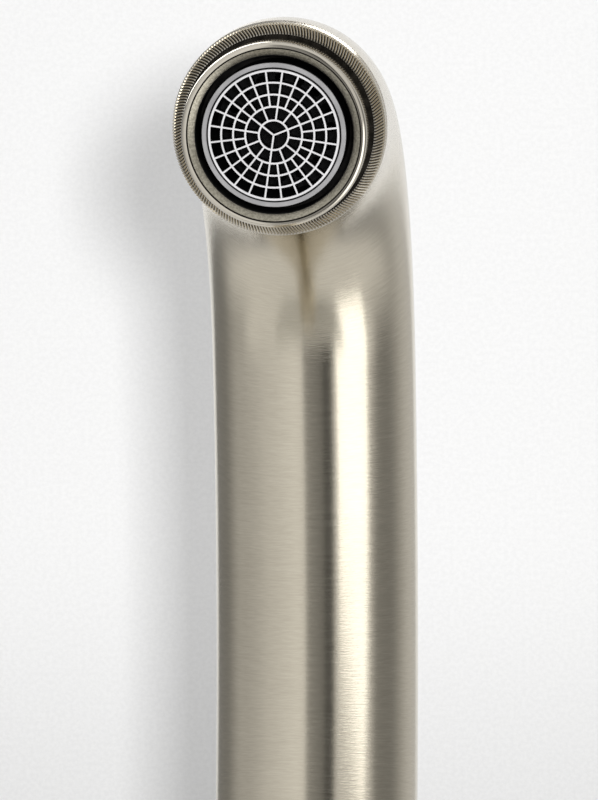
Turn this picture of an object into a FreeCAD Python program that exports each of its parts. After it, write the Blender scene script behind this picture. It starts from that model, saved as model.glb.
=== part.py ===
"""Single-lever kitchen mixer tap with an arched swivel spout, a knurled aerator and a ceramic cartridge.

Millimetres and degrees. The origin is on the body's axis at the worktop's surface, +Z is up and the
spout points to -Y. Levels along the outlet are measured outward from the end face of the spout tube.
"""
import FreeCAD, Part
import math
import os

V = FreeCAD.Vector
UP = V(0, 0, 1)
ORIGIN = V(0, 0, 0)

# Fits: radial or axial clearances
SEATED = 0.03            # pieces that are pushed or screwed together and stay put
RUNNING = 0.05           # a turning pin in its hole
SLIDING = 0.3            # moving faces that only pass each other
RING_GAP = 0.1           # slide ring to turning collar

# Worktop and fixing
WORKTOP_T = 40.0
SPIGOT_D = 33.0          # drops into the 35 mm hole in the worktop
SPIGOT_H = 4.0
STUD_D = 8.0
STUD_DEPTH = 14.0        # screwed into the body
STUD_TAIL = 22.0         # left below the nut
STUD_Y = 10.0
CLAMP_D = 54.0
CLAMP_T = 3.0
CLAMP_GASKET_T = 3.0
CLAMP_SLOT_W = 29.0
CLAMP_SLOT_CORNER = 6.0
CLAMP_WEB = 2.6          # metal between the slot and the stud's hole
NUT_FLATS = 13.0
NUT_H = 8.0

# Inlets and waterways
INLET_D = 9.0            # core of the M10 x 1 hose thread
INLET_DEPTH = 12.0
INLET_X = 7.2
INLET_Y = -4.4
INLET_BORE_D = 6.6
OUTLET_BORE_D = 7.2
OUTLET_Y = 7.0
ANNULUS_H = 22.0
ANNULUS_DEPTH = 2.5

# Base and lower sleeve
BODY_D = 50.0
BASE_FLARE = 3.5         # foot's rim stands out from the body
BASE_H = 9.0
BASE_RIM_H = 3.0
BASE_LAP = 1.0           # base ring's top edge stands out from the sleeve
BASE_SEAL_INSET = 2.3    # neck to the seal
BASE_SEAL_W = 3.4
BASE_SEAL_T = 1.6
SLEEVE_TOP = 70.0
SLEEVE_WALL = 2.0
SLEEVE_LIP_H = 5.0
EDGE = 0.6               # broken edges on turned pieces

# Swivel collar
COLLAR_H = 48.0
COLLAR_WALL = 3.95
SLIDE_RING_T = 0.8
SLIDE_RING_INSET = 0.8   # behind the collar's face
O_RING_DEPTH = 2.1       # groove depth in the neck
O_RING_INSET = 6.5       # groove's middle to the collar's end
O_RING_SPACE = 0.4       # extra groove width
BOSS_WALL = 1.4
BOSS_ROOT_WALL = 2.2
BOSS_FILLET = 2.5
SOCKET_DEPTH = 9.0
SOCKET_FLOOR = 1.2

# Spout tube
TUBE_D = 28.0
TUBE_WALL = 3.2
REACH = 220.0
END_STRAIGHT = 2.0
ELBOW_R = 39.0
ELBOW_RISE = 4.5         # slope left at the end of the elbow
ARCH_R = 185.0
ARM_SLOPE = 30.0         # slope at the collar

# Aerator: radii across the outlet, levels out from the tube's end
AERATOR_THREAD_D = 23.9
AERATOR_THREAD_L = 6.0
AERATOR_WALL = 1.35      # thread to bore
AERATOR_WASHER_T = 2.0
AERATOR_WASHER_W = 2.6
KNURL_STEP = 1.9         # grip stands out from the nose
KNURL_H = 3.5
KNURL_BEVEL_H = 1.1
KNURL_BEVEL_W = 1.15
NOSE_WALL = 1.8
NOSE_L = 9.4
NOSE_GROOVE_W = 0.5
NOSE_GROOVE_DEPTH = 0.4
LIP_R = 0.7
NOSE_BEVEL_H = 0.8
SHOULDER_LEVEL = 1.5
SHOULDER_T = 1.5
SHOULDER_W = 1.2
CAGE_GAP = 0.93          # cage to the nose's mouth
CAGE_WALL = 1.12
CAGE_FLANGE_T = 1.5
CAGE_INSET = 0.1         # cage's front behind the nose's lip
CAGE_STEP_W = 0.6
CAGE_STEP_H = 0.25
GRID_T = 2.0
GRID_RING_INSETS = [6.32, 4.55, 2.97, 1.42]
GRID_MIDDLE_SPOKES = 3
GRID_INNER_SPOKES = 12
GRID_SPOKES = 24
GRID_RING_W = 0.39
GRID_SPOKE_W = 0.33
GRID_TURN = 6.25         # first of the 24 outer spokes, from +X towards +Y
GRID_INNER_TURN = 21.25  # first of the 12 spokes and of the 3 in the middle
JET_PLATE_T = 1.4
JET_HOLES = 16
JET_HOLE_D = 1.3
JET_CIRCLE_D = 13.0
STRAINER_H = 2.6
STRAINER_T = 0.8
STRAINER_RING_DS = [4.0, 8.0, 12.6]
STRAINER_HOLES = 8       # in the first ring, and as many more in each next one
STRAINER_HOLE_D = 1.0

# Head and cartridge
SEAT_FLOOR = 3.5         # head's underside to the cartridge's seat
CARTRIDGE_BASE_T = 5.0
PEG_D = 3.0
PEG_H = 2.5
PEG_X = 11.5
PEG_Y = 5.0
PORT_D = 6.4
PORT_SEAL_W = 1.7
PORT_SEAL_T = 1.3
DISC_RECESS = 1.5
FIXED_DISC_D = 29.0      # with its play and the housing's wall, a 35 mm cartridge
DISC_PLAY = 1.0          # round the fixed disc in the housing
DISC_T = 4.0
MOVING_DISC_D = 22.0
POCKET_D = 12.4
POCKET_Y = 3.8
POCKET_DEPTH = 2.4
DISC_CARRIER_H = 5.6
BALL_D = 6.0
BALL_DROP = 1.7          # ball's middle below the top of the disc carrier
STEM_ARM = 9.0           # ball's middle to the pivot
STEM_NECK_D = 4.4
STEM_SQUARE = 7.0
STEM_BELOW = 4.0
STEM_ABOVE = 21.0
SOCKET_END_GAP = 0.3
PIVOT_D = 3.0
PIVOT_INSET = 0.5        # each end in from the turret's neck
HOUSING_WALL = 2.0
HOUSING_TOP_WALL = 1.6
HOUSING_STEP = 1.1       # ledge under the nut
HOUSING_LIP_T = 2.0
TURRET_NECK_D = 22.0
TURRET_FLANGE_T = 3.4
TURRET_ABOVE = 4.0       # neck's top above the pivot
TURRET_SLOT_L = 13.6
NUT_RING_H = 6.0
NUT_LAP = 1.5            # nut's thread stands out from the cartridge
NUT_NOTCHES = 4
NUT_NOTCH_W = 4.0
NUT_NOTCH_H = 2.5
HEAD_RIM = 0.5           # head's top above the nut
REGISTER_H = 1.6
REGISTER_STEP = 2.2      # in from the head's face

# Dome and lever
LIFT_MAX = 25.0
DOME_INSET = 2.6         # in from the head's face
DOME_WALL = 2.0
DOME_SKIRT_W = 1.55
DOME_SKIRT_H = 0.5       # skirt's top above the pivot
DOME_OPENING = 50.0      # half angle
CAP_GAP = 0.5
CAP_WALL = 2.3
RIM_LEVEL = 8.8          # pivot to the plane of the cap's rim
BOSS_D = 15.0
BOSS_LEVEL = 12.5        # pivot to the bottom of the cap's boss
SCREW_D = 5.0
SCREW_L = 4.5
SCREW_KEY = 2.5
SCREW_KEY_DEPTH = 2.2
SCREW_LEVEL = 16.0       # above the pivot
PLUG_D = 7.0
PLUG_PROUD = 0.15
LEVER_LENGTH = 112.0     # body's axis to the tip
LEVER_RISE = 8.0
LEVER_LEVEL = 23.0       # middle of the paddle above the pivot, on the body's axis
LEVER_TAIL = 14.0        # behind the body's axis
LEVER_TAIL_DROP = 3.2
LEVER_TAIL_T = 4.0
LEVER_ROOT = 26.0        # where the paddle leaves the cap, forward of the axis
LEVER_ROOT_W = 24.0
LEVER_ROOT_T = 8.0
LEVER_WAIST = 68.0
LEVER_WAIST_W = 19.0
LEVER_WAIST_T = 6.4
LEVER_TIP_W = 22.0
LEVER_TIP_T = 5.4
LEVER_TIP_ROUND = 1.8

# Levels up the body
collar_bottom = SLEEVE_TOP + SLIDE_RING_T + RING_GAP
collar_top = collar_bottom + COLLAR_H
head_bottom = collar_top + RING_GAP + SLIDE_RING_T
collar_middle = (collar_bottom + collar_top) / 2
seat_level = head_bottom + SEAT_FLOOR
base_top = seat_level + CARTRIDGE_BASE_T
fixed_bottom = base_top - DISC_RECESS
fixed_top = fixed_bottom + DISC_T
moving_top = fixed_top + DISC_T
carrier_top = moving_top + DISC_CARRIER_H
ball_level = carrier_top - BALL_DROP
pivot_level = ball_level + STEM_ARM
ledge_level = carrier_top + SLIDING
flange_bottom = ledge_level + SLIDING
flange_top = flange_bottom + TURRET_FLANGE_T
housing_top = flange_top + SLIDING + HOUSING_LIP_T
nut_top = ledge_level + NUT_RING_H
head_top = nut_top + HEAD_RIM
pivot = V(0, 0, pivot_level)
pivot_length = TURRET_NECK_D - 2 * PIVOT_INSET

# Radii that several pieces share
body_r = BODY_D / 2
collar_bore_r = body_r - COLLAR_WALL
neck_r = collar_bore_r - SLIDING
seal_in_r = neck_r + BASE_SEAL_INSET
seal_out_r = seal_in_r + BASE_SEAL_W
tube_r = TUBE_D / 2
tube_bore_r = tube_r - TUBE_WALL
thread_r = AERATOR_THREAD_D / 2
aerator_bore_r = thread_r - AERATOR_WALL
cage_r = aerator_bore_r - SHOULDER_W - SEATED
cage_bore_r = cage_r - CAGE_WALL
mouth_r = cage_r + CAGE_GAP
nose_r = mouth_r + NOSE_WALL
grip_r = nose_r + KNURL_STEP
cavity_r = FIXED_DISC_D / 2 + DISC_PLAY
cartridge_r = cavity_r + HOUSING_WALL
nut_ring_r = cartridge_r + NUT_LAP
ledge_r = cartridge_r - HOUSING_STEP
turret_flange_r = ledge_r - HOUSING_TOP_WALL - SLIDING
register_r = body_r - REGISTER_STEP
dome_r = body_r - DOME_INSET
cap_bore_r = dome_r + CAP_GAP
cap_r = cap_bore_r + CAP_WALL
inlets = [V(-INLET_X, INLET_Y, 0), V(INLET_X, INLET_Y, 0)]
outlet = V(0, OUTLET_Y, 0)

# The arm's line, in the plane X = 0: up from the outlet, round the elbow, over the arch, down to the collar
slope = math.radians(ARM_SLOPE)
rise = math.radians(ELBOW_RISE)
elbow_end_y = -REACH + ELBOW_R * (1 - math.sin(rise))
arch_end_y = elbow_end_y + ARCH_R * (math.sin(rise) + math.sin(slope))
arch_drop = ARCH_R * (math.cos(rise) - math.cos(slope))
root_drop = (-body_r - arch_end_y) * math.tan(slope)
elbow_end_z = collar_middle + root_drop + arch_drop
spout_end = elbow_end_z - ELBOW_R * math.cos(rise) - END_STRAIGHT
arch_end_z = elbow_end_z - arch_drop
arm_out = V(0, -math.cos(slope), math.sin(slope))
arm_root = V(0, 0, collar_middle - body_r * math.tan(slope))
socket_start = (collar_bore_r + SOCKET_FLOOR + tube_r * math.sin(slope)) / math.cos(slope)
boss_end = socket_start + SOCKET_DEPTH
washer_level = AERATOR_THREAD_L + AERATOR_WASHER_T


def at(y, z):
    """A point in the tap's plane of symmetry."""
    return V(0, y, z)


def lathe(start, *steps):
    """Turn a closed outline of (radius, level) points about Z. A pair of points is an arc: middle, end."""
    here = V(start[0], 0, start[1])
    edges = []
    for step in list(steps) + [start]:
        if isinstance(step[0], tuple):
            middle, end = [V(r, 0, z) for r, z in step]
            edges.append(Part.Arc(here, middle, end).toShape())
        else:
            end = V(step[0], 0, step[1])
            edges.append(Part.LineSegment(here, end).toShape())
        here = end
    return Part.Face(Part.Wire(edges)).revolve(ORIGIN, UP, 360)


def disc(radius, bottom, top, centre=ORIGIN):
    """An upright cylinder between two levels."""
    return Part.makeCylinder(radius, top - bottom, V(centre.x, centre.y, bottom), UP)


def ring(outer, inner, bottom, top, centre=ORIGIN):
    """An upright tube between two levels."""
    return disc(outer, bottom, top, centre).cut(disc(inner, bottom, top, centre))


def hexagon(flats, height, base, direction):
    """A hexagonal bar across the given flats."""
    corner = flats / math.sqrt(3)
    points = [V(corner * math.cos(k * math.pi / 3), corner * math.sin(k * math.pi / 3), 0) for k in range(7)]
    bar = Part.Face(Part.makePolygon(points)).extrude(V(0, 0, height))
    bar.Placement = FreeCAD.Placement(base, FreeCAD.Rotation(UP, direction))
    return bar


def round_edges(shape, radius, pick):
    """Fillet the edges that pick accepts."""
    return shape.makeFillet(radius, [edge for edge in shape.Edges if pick(edge)])


def break_edges(shape, width, pick):
    """Chamfer the edges that pick accepts."""
    return shape.makeChamfer(width, [edge for edge in shape.Edges if pick(edge)])


def is_circle(edge, radius, level):
    """Whether an edge is a full upright circle of this radius at this level."""
    curve = edge.Curve
    if not isinstance(curve, Part.Circle):
        return False
    return abs(curve.Radius - radius) < 1e-4 and abs(curve.Center.z - level) < 1e-4


def to_outlet(shape):
    """Hang a shape that is modelled about Z, with its seat at level 0, from the spout's end."""
    shape.Placement = FreeCAD.Placement(at(-REACH, spout_end), FreeCAD.Rotation(V(1, 0, 0), 180))
    return shape


def make_mixer_body():
    """Cast body: spigot, long neck for the collar, and a head bored for the cartridge."""
    groove_r = neck_r - O_RING_DEPTH
    body = disc(neck_r, 0, head_bottom).fuse(disc(SPIGOT_D / 2, -SPIGOT_H, 0))
    body = body.fuse(disc(body_r, head_bottom, head_top - REGISTER_H))
    body = body.fuse(disc(register_r, head_top - REGISTER_H, head_top)).removeSplitter()
    for middle in o_ring_levels():
        half = o_ring_section() / 2 + O_RING_SPACE / 2
        body = body.cut(ring(neck_r + EDGE, groove_r, middle - half, middle + half))
    annulus = collar_middle - ANNULUS_H / 2, collar_middle + ANNULUS_H / 2
    body = body.cut(ring(neck_r + EDGE, neck_r - ANNULUS_DEPTH, *annulus))
    body = body.cut(disc(cartridge_r + SLIDING, seat_level, head_top))
    body = body.cut(disc(nut_ring_r + SEATED, ledge_level, head_top))
    for inlet in inlets:
        body = body.cut(disc(INLET_D / 2, -SPIGOT_H, INLET_DEPTH - SPIGOT_H, inlet))
        body = body.cut(disc(INLET_BORE_D / 2, 0, seat_level, inlet))
    body = body.cut(disc(OUTLET_BORE_D / 2, collar_middle - OUTLET_BORE_D / 2, seat_level, outlet))
    body = body.cut(Part.makeCylinder(OUTLET_BORE_D / 2, neck_r, V(0, OUTLET_Y, collar_middle), V(0, 1, 0)))
    body = body.cut(disc(STUD_D / 2 + SEATED, -SPIGOT_H, STUD_DEPTH - SPIGOT_H, V(0, STUD_Y, 0)))
    for side in (-1, 1):
        spot = V(side * PEG_X, PEG_Y, 0)
        body = body.cut(disc(PEG_D / 2 + SLIDING, seat_level - PEG_H - SLIDING, seat_level, spot))
    return break_edges(body, EDGE, lambda e: is_circle(e, body_r, head_bottom))


def o_ring_section():
    """Thickness of the neck's O-rings, squeezed between groove and collar."""
    return O_RING_DEPTH + SLIDING - RING_GAP


def o_ring_levels():
    return [collar_bottom + O_RING_INSET, collar_top - O_RING_INSET]


def make_o_ring(level):
    """Round rubber ring that rests on the bottom of its groove."""
    section = o_ring_section() / 2
    return Part.makeTorus(neck_r - O_RING_DEPTH + section, section, V(0, 0, level))


def make_slide_ring(bottom):
    """Thin plastic washer that the collar turns on."""
    return ring(body_r - SLIDE_RING_INSET, collar_bore_r, bottom, bottom + SLIDE_RING_T)


def make_lower_sleeve():
    """Turned cover round the lower neck, relieved inside between two lips."""
    sleeve = ring(body_r, neck_r + SEATED, BASE_H, SLEEVE_TOP)
    relief = disc(body_r - SLEEVE_WALL, BASE_H + SLEEVE_LIP_H, SLEEVE_TOP - SLEEVE_LIP_H)
    sleeve = sleeve.cut(relief)
    return break_edges(sleeve, EDGE, lambda e: is_circle(e, body_r, SLEEVE_TOP))


def make_base_ring():
    """Flared foot that meets the worktop, with a groove for its seal."""
    bore = neck_r + SEATED
    rim = body_r + BASE_FLARE
    top = body_r + BASE_LAP
    flare = (top + 0.3 * (rim - top), (BASE_RIM_H + BASE_H) / 2)
    foot = lathe((bore, 0), (rim, 0), (rim, BASE_RIM_H), (flare, (top, BASE_H)), (bore, BASE_H))
    foot = foot.cut(ring(seal_out_r + SEATED, seal_in_r - SEATED, 0, BASE_SEAL_T))
    return round_edges(foot, EDGE, lambda e: is_circle(e, rim, BASE_RIM_H))


def make_base_seal():
    return ring(seal_out_r, seal_in_r, 0, BASE_SEAL_T)


def make_clamp(bottom, top):
    """Horseshoe outline, open to the front for the hoses, with a hole for the stud."""
    back = STUD_Y - STUD_D / 2 - SLIDING - CLAMP_WEB
    half = CLAMP_SLOT_W / 2
    slot = Part.makeBox(CLAMP_SLOT_W, CLAMP_D, top - bottom, V(-half, back - CLAMP_D, bottom))
    is_back_corner = lambda e: all(abs(v.Y - back) < 1e-6 for v in e.Vertexes) and abs(e.tangentAt(0).z) > 0.9
    slot = round_edges(slot, CLAMP_SLOT_CORNER, is_back_corner)
    horseshoe = disc(CLAMP_D / 2, bottom, top).cut(slot)
    return horseshoe.cut(disc(STUD_D / 2 + SLIDING, bottom, top, V(0, STUD_Y, 0)))


def make_fixing_stud():
    """Threaded rod from the body down past the nut."""
    end = clamp_levels()[2] - NUT_H - STUD_TAIL
    rod = disc(STUD_D / 2, end, STUD_DEPTH - SPIGOT_H, V(0, STUD_Y, 0))
    return break_edges(rod, EDGE, lambda e: is_circle(e, STUD_D / 2, end))


def clamp_levels():
    """Top of the gasket, joint between gasket and plate, and underside of the plate."""
    joint = -WORKTOP_T - CLAMP_GASKET_T
    return -WORKTOP_T, joint, joint - CLAMP_T


def make_fixing_nut():
    top = clamp_levels()[2]
    blank = hexagon(NUT_FLATS, NUT_H, V(0, STUD_Y, top - NUT_H), UP)
    return blank.cut(disc(STUD_D / 2 + SEATED, top - NUT_H, top, V(0, STUD_Y, 0)))


def arm_point(distance):
    """A point on the arm's lower straight, by its distance from the body's axis."""
    return arm_root + arm_out * distance


def make_spout_tube():
    """Bent tube: a tight elbow over the outlet, a long arch and a straight end in the collar's socket."""
    elbow_centre = at(-REACH + ELBOW_R, spout_end + END_STRAIGHT)
    arch_centre = at(elbow_end_y + ARCH_R * math.sin(rise), elbow_end_z - ARCH_R * math.cos(rise))
    mid_elbow = (math.pi / 2 - rise) / 2
    elbow_middle = elbow_centre + at(-math.cos(mid_elbow), math.sin(mid_elbow)) * ELBOW_R
    mid_arch = (slope - rise) / 2
    arch_middle = arch_centre + at(math.sin(mid_arch), math.cos(mid_arch)) * ARCH_R
    start = at(-REACH, spout_end)
    elbow_start = at(-REACH, spout_end + END_STRAIGHT)
    elbow_end = at(elbow_end_y, elbow_end_z)
    arch_end = at(arch_end_y, arch_end_z)
    path = Part.Wire([
        Part.LineSegment(start, elbow_start).toShape(),
        Part.Arc(elbow_start, elbow_middle, elbow_end).toShape(),
        Part.Arc(elbow_end, arch_middle, arch_end).toShape(),
        Part.LineSegment(arch_end, arm_point(socket_start)).toShape(),
    ])
    outside, bore = [
        path.makePipeShell([Part.Wire(Part.makeCircle(r, start, UP))], True, False)
        for r in (tube_r, tube_bore_r)
    ]
    socket = Part.makeCylinder(thread_r + SEATED, washer_level, start, UP)
    return outside.cut(bore).cut(socket)


def is_boss_joint(edge):
    """Whether an edge is the curve along which the boss leaves the collar's round face."""
    if isinstance(edge.Curve, (Part.Circle, Part.Line)):
        return False
    middle = edge.valueAt((edge.FirstParameter + edge.LastParameter) / 2)
    return abs(math.hypot(middle.x, middle.y) - body_r) < 1e-3


def make_spout_collar():
    """Swivel ring with a slanted boss that holds the tube's end."""
    root_r = tube_r + BOSS_ROOT_WALL
    start = (neck_r - root_r * math.sin(slope)) / math.cos(slope)
    boss = Part.makeCone(root_r, tube_r + BOSS_WALL, boss_end - start, arm_point(start), arm_out)
    collar = disc(body_r, collar_bottom, collar_top).fuse(boss).removeSplitter()
    land = COLLAR_H / 2 - root_r / math.cos(slope) - EDGE
    fillet = min(BOSS_FILLET, land * math.tan(math.pi / 4 - slope / 2))
    collar = round_edges(collar, fillet, is_boss_joint)
    for level in (collar_bottom, collar_top):
        collar = break_edges(collar, EDGE, lambda e: is_circle(e, body_r, level))
    collar = collar.cut(disc(collar_bore_r, collar_bottom - root_r, collar_top + root_r))
    collar = collar.cut(Part.makeCylinder(tube_r + SEATED, SOCKET_DEPTH, arm_point(socket_start), arm_out))
    return collar.cut(Part.makeCylinder(tube_bore_r, socket_start, arm_root, arm_out))


def make_aerator_housing():
    """Turned shell: thread, knurled grip with a bevelled front, groove and a nose with a rounded lip."""
    bevel_r = grip_r - KNURL_BEVEL_W
    groove_r = nose_r - NOSE_GROOVE_DEPTH
    opening = cage_r + SEATED
    groove_end = KNURL_H + NOSE_GROOVE_W
    shoulder_end = SHOULDER_LEVEL + SHOULDER_T
    lip = LIP_R * math.sqrt(0.5)
    lip_arc = ((nose_r - LIP_R + lip, NOSE_L - LIP_R + lip), (nose_r - LIP_R, NOSE_L))
    shell = lathe(
        (aerator_bore_r, -AERATOR_THREAD_L), (thread_r, -AERATOR_THREAD_L), (thread_r, 0), (grip_r, 0),
        (grip_r, KNURL_H - KNURL_BEVEL_H), (bevel_r, KNURL_H), (groove_r, KNURL_H), (groove_r, groove_end),
        (nose_r, groove_end), (nose_r, NOSE_L - LIP_R), lip_arc, (mouth_r, NOSE_L - NOSE_BEVEL_H),
        (mouth_r, shoulder_end), (opening, shoulder_end), (opening, SHOULDER_LEVEL),
        (aerator_bore_r, SHOULDER_LEVEL))
    return to_outlet(shell)


def grid_cell(inner, outer, start, end):
    """One opening of the outlet grid, between two ring edges and two spokes with parallel sides."""
    half = GRID_SPOKE_W / 2

    def corner(radius, spoke, side):
        angle = spoke + side * math.asin(half / radius)
        return V(radius * math.cos(angle), radius * math.sin(angle), 0)

    def arc(radius):
        middle = (start + end) / 2
        across = V(radius * math.cos(middle), radius * math.sin(middle), 0)
        return Part.Arc(corner(radius, start, 1), across, corner(radius, end, -1)).toShape()

    if inner > 0:
        near = [corner(inner, start, 1), corner(inner, end, -1)]
        edges = [arc(inner)]
    else:
        middle = (start + end) / 2
        tip = half / math.sin((end - start) / 2)
        near = [V(tip * math.cos(middle), tip * math.sin(middle), 0)] * 2
        edges = []
    edges.append(Part.LineSegment(near[1], corner(outer, end, -1)).toShape())
    edges.append(arc(outer))
    edges.append(Part.LineSegment(corner(outer, start, 1), near[0]).toShape())
    return Part.Wire(Part.__sortEdges__(edges))


def make_outlet_grid():
    """Flat net of rings and spokes that closes the cage's bore."""
    half = GRID_RING_W / 2
    rings = [cage_bore_r - inset for inset in GRID_RING_INSETS]
    inner_edges = [0] + [r + half for r in rings]
    outer_edges = [r - half for r in rings] + [cage_bore_r]
    counts = [GRID_MIDDLE_SPOKES, GRID_INNER_SPOKES] + [GRID_SPOKES] * (len(inner_edges) - 2)
    cells = []
    for inner, outer, count in zip(inner_edges, outer_edges, counts):
        turn = math.radians(GRID_TURN if count == GRID_SPOKES else GRID_INNER_TURN)
        step = 2 * math.pi / count
        cells += [grid_cell(inner, outer, turn + k * step, turn + (k + 1) * step) for k in range(count)]
    blank = Part.Wire(Part.makeCircle((cage_r + cage_bore_r) / 2))
    return Part.Face([blank] + cells, "Part::FaceMakerBullseye").extrude(V(0, 0, GRID_T))


def make_aerator_cage():
    """Plastic insert: a flanged tube that hangs on the housing's shoulder and ends in the outlet grid."""
    front = NOSE_L - CAGE_INSET
    top = SHOULDER_LEVEL - CAGE_FLANGE_T
    flange = aerator_bore_r - SEATED
    step = cage_r - CAGE_STEP_W
    tube = lathe(
        (cage_bore_r, top), (flange, top), (flange, SHOULDER_LEVEL), (cage_r, SHOULDER_LEVEL),
        (cage_r, front - CAGE_STEP_H), (step, front - CAGE_STEP_H), (step, front), (cage_bore_r, front))
    grid = make_outlet_grid()
    grid.translate(V(0, 0, front - GRID_T))
    return to_outlet(tube.fuse(grid).removeSplitter())


def make_aerator_jet_plate():
    """Disc whose ring of jets breaks the water up above the grid."""
    bottom = SHOULDER_LEVEL - CAGE_FLANGE_T
    plate = disc(aerator_bore_r - SEATED, bottom - JET_PLATE_T, bottom)
    for k in range(JET_HOLES):
        angle = 2 * math.pi * k / JET_HOLES
        spot = V(JET_CIRCLE_D / 2 * math.cos(angle), JET_CIRCLE_D / 2 * math.sin(angle), 0)
        plate = plate.cut(disc(JET_HOLE_D / 2, bottom - JET_PLATE_T, bottom, spot))
    return to_outlet(plate)


def make_aerator_strainer():
    """Cup with small holes that keeps grit out of the jets."""
    seat = SHOULDER_LEVEL - CAGE_FLANGE_T - JET_PLATE_T
    rim = aerator_bore_r - SEATED
    cup = disc(rim, seat - STRAINER_H, seat)
    cup = cup.cut(disc(rim - STRAINER_T, seat - STRAINER_H + STRAINER_T, seat))
    for number, circle in enumerate(STRAINER_RING_DS, 1):
        count = number * STRAINER_HOLES
        for k in range(count):
            angle = 2 * math.pi * k / count
            spot = V(circle / 2 * math.cos(angle), circle / 2 * math.sin(angle), 0)
            cup = cup.cut(disc(STRAINER_HOLE_D / 2, seat - STRAINER_H, seat - STRAINER_H + STRAINER_T, spot))
    return to_outlet(cup)


def make_aerator_washer():
    """Flat rubber ring between the housing and the floor of the tube's socket."""
    return to_outlet(ring(thread_r, thread_r - AERATOR_WASHER_W, -washer_level, -AERATOR_THREAD_L))


def port_holes(radius, bottom, top):
    """Matching holes at the two inlets and the outlet."""
    return [disc(radius, bottom, top, spot) for spot in inlets + [outlet]]


def make_cartridge_base():
    """Moulded floor of the cartridge, with ports, seal recesses, pegs and a seat for the fixed disc."""
    base = disc(cartridge_r, seat_level, base_top)
    for side in (-1, 1):
        base = base.fuse(disc(PEG_D / 2, seat_level - PEG_H, seat_level, V(side * PEG_X, PEG_Y, 0)))
    base = base.cut(disc(FIXED_DISC_D / 2 + SEATED, fixed_bottom, base_top))
    for hole in port_holes(PORT_D / 2, seat_level, base_top):
        base = base.cut(hole)
    for recess in port_holes(PORT_D / 2 + PORT_SEAL_W + SEATED, seat_level, seat_level + PORT_SEAL_T):
        base = base.cut(recess)
    return base


def make_port_seal(spot):
    return ring(PORT_D / 2 + PORT_SEAL_W, PORT_D / 2, seat_level, seat_level + PORT_SEAL_T, spot)


def make_fixed_disc():
    blank = disc(FIXED_DISC_D / 2, fixed_bottom, fixed_top)
    for hole in port_holes(PORT_D / 2, fixed_bottom, fixed_top):
        blank = blank.cut(hole)
    return blank


def make_moving_disc():
    """Ceramic slide whose pocket joins the inlets to the outlet when it moves forward."""
    blank = disc(MOVING_DISC_D / 2, fixed_top, moving_top)
    return blank.cut(disc(POCKET_D / 2, fixed_top, fixed_top + POCKET_DEPTH, V(0, POCKET_Y, 0)))


def make_disc_carrier():
    """Follower on the moving disc, with a round socket for the stem's ball."""
    carrier = disc(MOVING_DISC_D / 2, moving_top, carrier_top)
    return carrier.cut(disc(BALL_D / 2 + SLIDING, ball_level - BALL_D / 2 - SLIDING, carrier_top))


def make_cartridge_housing():
    """Shell of the cartridge, stepped in for the nut and closed round the turret's neck."""
    top_cavity = turret_flange_r + SLIDING
    throat = TURRET_NECK_D / 2 + SLIDING
    lip_bottom = housing_top - HOUSING_LIP_T
    return lathe(
        (cavity_r, base_top), (cartridge_r, base_top), (cartridge_r, ledge_level), (ledge_r, ledge_level),
        (ledge_r, housing_top), (throat, housing_top), (throat, lip_bottom), (top_cavity, lip_bottom),
        (top_cavity, ledge_level), (cavity_r, ledge_level))


def make_mixing_carrier():
    """Turret that the lever turns, slotted for the stem and drilled for its pivot."""
    neck_top = pivot_level + TURRET_ABOVE
    neck = disc(TURRET_NECK_D / 2, flange_top, neck_top)
    turret = disc(turret_flange_r, flange_bottom, flange_top).fuse(neck)
    width = STEM_SQUARE + 2 * SLIDING
    corner = V(-width / 2, -TURRET_SLOT_L / 2, flange_bottom)
    slot = Part.makeBox(width, TURRET_SLOT_L, neck_top - flange_bottom, corner)
    return turret.cut(slot).cut(cross_pin(PIVOT_D / 2 + SEATED, pivot_length + 2 * SEATED)).removeSplitter()


def cross_pin(radius, length):
    """A cylinder along X through the pivot."""
    return Part.makeCylinder(radius, length, pivot - V(length / 2, 0, 0), V(1, 0, 0))


def make_lever_stem():
    """Rocking spindle: ball, neck and a square bar that the handle fits on."""
    square_bottom = pivot_level - STEM_BELOW
    half = STEM_SQUARE / 2
    bar = Part.makeBox(STEM_SQUARE, STEM_SQUARE, STEM_BELOW + STEM_ABOVE, V(-half, -half, square_bottom))
    bar = bar.cut(cross_pin(PIVOT_D / 2 + RUNNING, pivot_length))
    ball = Part.makeSphere(BALL_D / 2, V(0, 0, ball_level))
    return bar.fuse(disc(STEM_NECK_D / 2, ball_level, square_bottom)).fuse(ball)


def make_cartridge_nut():
    """Threaded ring that holds the cartridge down, notched for its key."""
    nut = ring(nut_ring_r, ledge_r + SEATED, ledge_level, nut_top)
    corner = V(0, -NUT_NOTCH_W / 2, nut_top - NUT_NOTCH_H)
    notch = Part.makeBox(2 * nut_ring_r, NUT_NOTCH_W, NUT_NOTCH_H, corner)
    for k in range(NUT_NOTCHES):
        nut = nut.cut(notch.rotated(ORIGIN, UP, 360 * k / NUT_NOTCHES))
    return nut


def on_sphere(radius, polar):
    """(radius, level) of a point on a sphere about the pivot, by its angle from the top in degrees."""
    angle = math.radians(polar)
    return radius * math.sin(angle), pivot_level + radius * math.cos(angle)


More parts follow.
